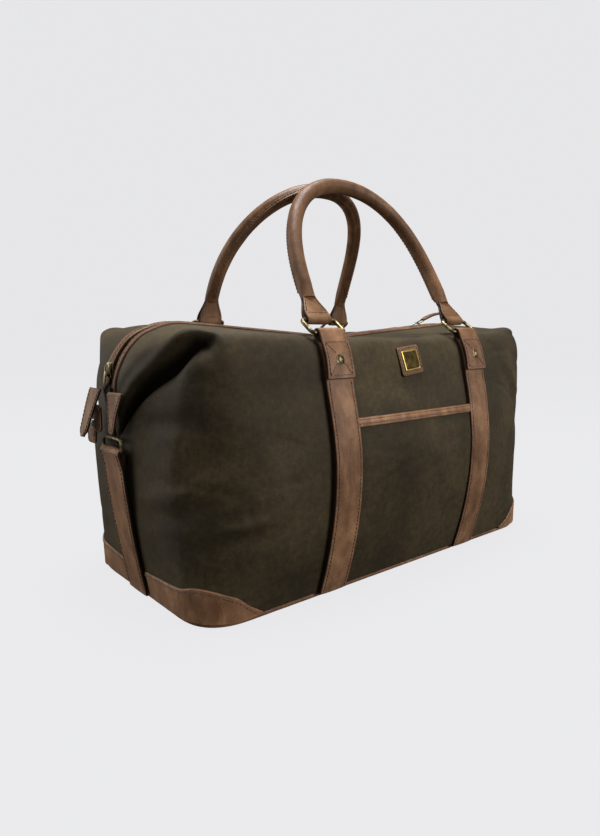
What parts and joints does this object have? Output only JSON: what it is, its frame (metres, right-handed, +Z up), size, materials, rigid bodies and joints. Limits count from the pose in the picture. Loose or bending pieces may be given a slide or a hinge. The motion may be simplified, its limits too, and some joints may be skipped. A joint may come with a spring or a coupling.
{
  "type": "weekender bag",
  "caption": "Soft travel holdall in waxed canvas with leather trim, a zip over the top and down the ends, rolled handles on metal rings and a front slip pocket.",
  "frame": {"origin": "middle of the underside, on the surface that the bag stands on", "axes": "+X along the bag's length, -Y towards the front pocket, +Z up"},
  "size_m": [0.5828, 0.2968, 0.427],
  "materials": {
    "canvas": "waxed dark olive canvas, fine plain weave, low sheen",
    "lining": "matte cotton twill",
    "leather": "waxed brown leather, fine grain, tonal stitching",
    "handle_leather": "smooth brown leather, lightly burnished",
    "board": "stiff grey-brown board",
    "rope": "twisted cotton rope",
    "brass": "antique brass, darkened",
    "badge_brass": "aged brass plate",
    "zip_brass": "antique brass",
    "steel": "nickel-plated press stud",
    "tape": "dark woven zip tape"
  },
  "bodies": {
    "bag": {"canvas_front": "canvas", "canvas_back": "canvas", "base_panel": "canvas", "pocket_panel": "canvas", "lining_front": "lining", "lining_back": "lining", "base_board": "board", "base_piping": "leather", "pocket_trim": "leather", "badge_patch": "leather", "badge_plate": "badge_brass", "zip_chain": "zip_brass", "zip_tape_front": "tape", "zip_edge_front": "leather", "corner_patch_front_left": "leather", "strap_front_left": "leather", "ring_tab_front_left": "leather", "ring_rivet_front_left": "brass", "corner_patch_front_right": "leather", "strap_front_right": "leather", "ring_tab_front_right": "leather", "ring_rivet_front_right": "brass", "zip_tape_back": "tape", "zip_edge_back": "leather", "corner_patch_back_left": "leather", "strap_back_left": "leather", "ring_tab_back_left": "leather", "ring_rivet_back_left": "brass", "corner_patch_back_right": "leather", "strap_back_right": "leather", "ring_tab_back_right": "leather", "ring_rivet_back_right": "brass", "end_strap_left": "leather", "zip_ear_left": "leather", "stud_tab_left": "leather", "press_stud_left": "steel", "end_strap_right": "leather", "zip_ear_right": "leather", "stud_tab_right": "leather", "press_stud_right": "steel"},
    "front_rings": {"handle_ring_front_left": "brass", "handle_ring_front_right": "brass"},
    "back_rings": {"handle_ring_back_left": "brass", "handle_ring_back_right": "brass"},
    "front_handle": {"handle_front": "handle_leather", "handle_core_front": "rope", "handle_tab_front_left": "handle_leather", "handle_tab_front_right": "handle_leather"},
    "back_handle": {"handle_back": "handle_leather", "handle_core_back": "rope", "handle_tab_back_left": "handle_leather", "handle_tab_back_right": "handle_leather"},
    "left_end_ring": {"end_ring_left": "brass"},
    "right_end_ring": {"end_ring_right": "brass"},
    "left_tongue": {"end_tongue_left": "leather", "stud_cap_left": "steel"},
    "right_tongue": {"end_tongue_right": "leather", "stud_cap_right": "steel"},
    "zip_slider": {"zip_slider": "zip_brass"},
    "zip_pull": {"zip_pull": "leather"}
  },
  "joints": [
    {"name": "front_ring_swing", "type": "hinge", "parent": "bag", "child": "front_rings", "pos_m": [0, -0.11569, 0.25728], "axis": [1, 0, 0], "range_deg": [0, 100]},
    {"name": "front_handle_swing", "type": "hinge", "parent": "front_rings", "child": "front_handle", "pos_m": [0, -0.0987, 0.26963], "axis": [1, 0, 0], "range_deg": [0, 75]},
    {"name": "back_ring_swing", "type": "hinge", "parent": "bag", "child": "back_rings", "pos_m": [0, 0.11569, 0.25728], "axis": [-1, 0, 0], "range_deg": [0, 100]},
    {"name": "back_handle_swing", "type": "hinge", "parent": "back_rings", "child": "back_handle", "pos_m": [0, 0.0987, 0.26963], "axis": [-1, 0, 0], "range_deg": [0, 75]},
    {"name": "left_end_ring_swing", "type": "hinge", "parent": "bag", "child": "left_end_ring", "pos_m": [-0.2739, 0, 0.147], "axis": [0, -1, 0], "range_deg": [0, 140]},
    {"name": "right_end_ring_swing", "type": "hinge", "parent": "bag", "child": "right_end_ring", "pos_m": [0.2739, 0, 0.147], "axis": [0, 1, 0], "range_deg": [0, 140]},
    {"name": "left_tongue_lift", "type": "hinge", "parent": "bag", "child": "left_tongue", "pos_m": [-0.2814, 0.022, 0.206], "axis": [0, 1, 0], "range_deg": [-4, 75]},
    {"name": "right_tongue_lift", "type": "hinge", "parent": "bag", "child": "right_tongue", "pos_m": [0.2814, 0.022, 0.206], "axis": [0, -1, 0], "range_deg": [-4, 75]},
    {"name": "zip_slide", "type": "slide", "parent": "bag", "child": "zip_slider", "axis": [-0.9968, 0, -0.08], "range_m": [0, 0.105]},
    {"name": "zip_pull_swing", "type": "hinge", "parent": "zip_slider", "child": "zip_pull", "pos_m": [0.163, 0, 0.2691], "axis": [0, -1, 0], "range_deg": [0, 150]}
  ]
}
